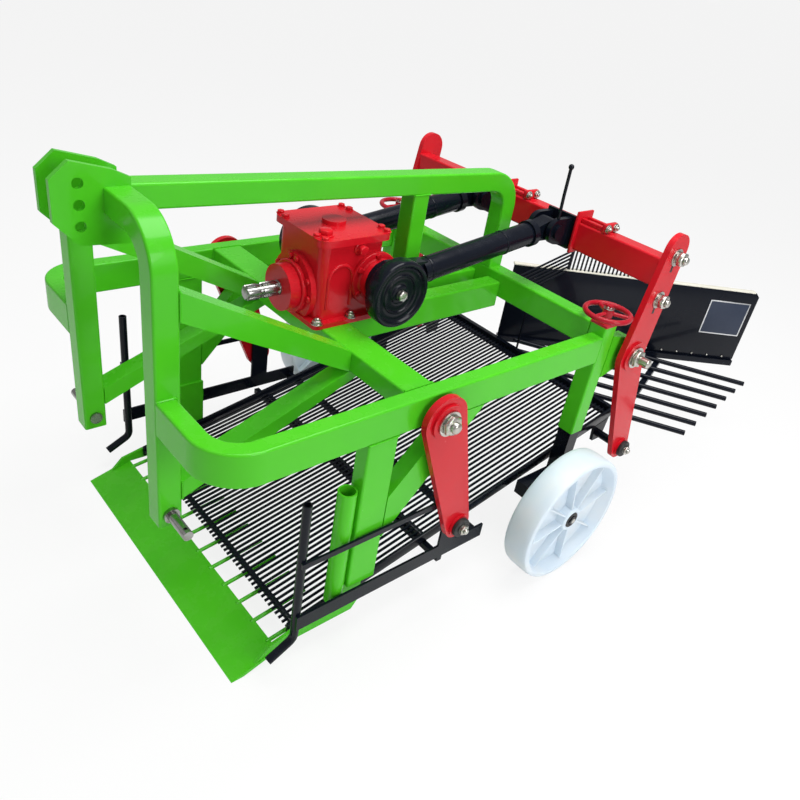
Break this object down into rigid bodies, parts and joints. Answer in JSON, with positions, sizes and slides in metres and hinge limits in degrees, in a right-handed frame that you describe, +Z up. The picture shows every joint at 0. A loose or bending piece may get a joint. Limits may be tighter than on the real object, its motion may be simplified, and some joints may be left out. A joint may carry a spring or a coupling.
{
  "type": "tractor-mounted vibrating peanut harvester",
  "caption": "Three-point mounted peanut digger: blade, vibrating rod sieve on swinging arms driven by a gearbox and eccentric rods, depth wheels and a side-discharge rear grid.",
  "frame": {"origin": "on the floor, at the centre of the bounding box", "axes": "+X across the machine towards the side where the rear grid discharges, +Y rearward along travel, away from the tractor, +Z up"},
  "size_m": [1.16, 2.2, 1.034],
  "materials": {
    "green": "bright gloss enamel",
    "red": "gloss enamel",
    "black": "satin enamel",
    "steel": "bright turned steel",
    "nylon": "moulded, matt"
  },
  "bodies": {
    "frame": {"blade_cheeks": "green", "centre_post": "green", "depth_screws": "red", "digging_blade": "green", "gearbox_beams": "green", "gearbox_cover": "red", "gearbox_housing": "red", "hanger_pivots": "green", "input_bearing": "red", "lower_hitch_pins": "steel", "lower_struts": "green", "main_cross_tube": "green", "mast_leg_left": "green", "mast_leg_right": "green", "pipe_sockets": "green", "rear_cross_tube": "green", "rear_pivot_brackets": "green", "rear_posts": "green", "shank_braces": "green", "shanks": "green", "side_rail_left": "green", "side_rail_right": "green", "top_beam": "green", "top_link_plates": "green", "upper_struts": "green"},
    "pto": {"pto_shaft": "steel"},
    "crank": {"crankshaft": "black", "flywheels": "black"},
    "rod_left": {"connecting_rod_left": "black"},
    "rod_right": {"connecting_rod_right": "black"},
    "swing": {"rear_arms": "red", "swing_beam": "red", "rod_brackets": "black"},
    "front_hanger_left": {"hanger_left": "red"},
    "front_hanger_right": {"hanger_right": "red"},
    "sieve": {"sieve_floor": "black", "sieve_cross_bars": "black", "sieve_side_frames": "black", "rear_lugs": "black", "crop_guards": "black", "rear_grid": "black", "deflector_panel": "black"},
    "leg_left": {"wheel_leg_left": "black"},
    "leg_right": {"wheel_leg_right": "black"},
    "ground_wheel_left": {"wheel_left": "nylon"},
    "ground_wheel_right": {"wheel_right": "nylon"}
  },
  "joints": [
    {"name": "crank_spin", "type": "hinge", "parent": "frame", "child": "crank", "pos_m": [0, -0.418, 0.747], "axis": [1, 0, 0], "continuous": true},
    {"name": "pto_spin", "type": "hinge", "parent": "frame", "child": "pto", "pos_m": [0, -0.64, 0.718], "axis": [0, 1, 0], "continuous": true},
    {"name": "rod_left_turn", "type": "hinge", "parent": "crank", "child": "rod_left", "pos_m": [-0.138, -0.418, 0.755], "axis": [1, 0, 0], "continuous": true},
    {"name": "rod_right_turn", "type": "hinge", "parent": "crank", "child": "rod_right", "pos_m": [0.138, -0.418, 0.755], "axis": [1, 0, 0], "continuous": true},
    {"name": "rear_swing", "type": "hinge", "parent": "frame", "child": "swing", "pos_m": [0, 0.2, 0.582], "axis": [1, 0, 0], "range_deg": [-1.9, 1.9]},
    {"name": "hanger_left_swing", "type": "hinge", "parent": "frame", "child": "front_hanger_left", "pos_m": [-0.46, -0.495, 0.595], "axis": [1, 0, 0], "range_deg": [-1.9, 1.9]},
    {"name": "hanger_right_swing", "type": "hinge", "parent": "frame", "child": "front_hanger_right", "pos_m": [0.46, -0.495, 0.595], "axis": [1, 0, 0], "range_deg": [-1.9, 1.9]},
    {"name": "sieve_level", "type": "hinge", "parent": "swing", "child": "sieve", "pos_m": [0, 0.322, 0.239], "axis": [1, 0, 0], "range_deg": [-1.9, 1.9]},
    {"name": "leg_left_height", "type": "slide", "parent": "frame", "child": "leg_left", "axis": [0, 0, 1], "range_m": [-0.06, 0.06]},
    {"name": "leg_right_height", "type": "slide", "parent": "frame", "child": "leg_right", "axis": [0, 0, 1], "range_m": [-0.06, 0.06]},
    {"name": "wheel_left_roll", "type": "hinge", "parent": "leg_left", "child": "ground_wheel_left", "pos_m": [-0.54, -0.025, 0.187], "axis": [1, 0, 0], "continuous": true},
    {"name": "wheel_right_roll", "type": "hinge", "parent": "leg_right", "child": "ground_wheel_right", "pos_m": [0.54, -0.025, 0.187], "axis": [1, 0, 0], "continuous": true}
  ],
  "couplings": [
    {"joint": "pto_spin", "follows": "crank_spin", "ratio": 1},
    {"joint": "rod_left_turn", "follows": "crank_spin", "ratio": -1},
    {"joint": "rod_right_turn", "follows": "crank_spin", "ratio": -1},
    {"joint": "hanger_left_swing", "follows": "rear_swing", "ratio": 1},
    {"joint": "hanger_right_swing", "follows": "rear_swing", "ratio": 1},
    {"joint": "sieve_level", "follows": "rear_swing", "ratio": -1}
  ]
}
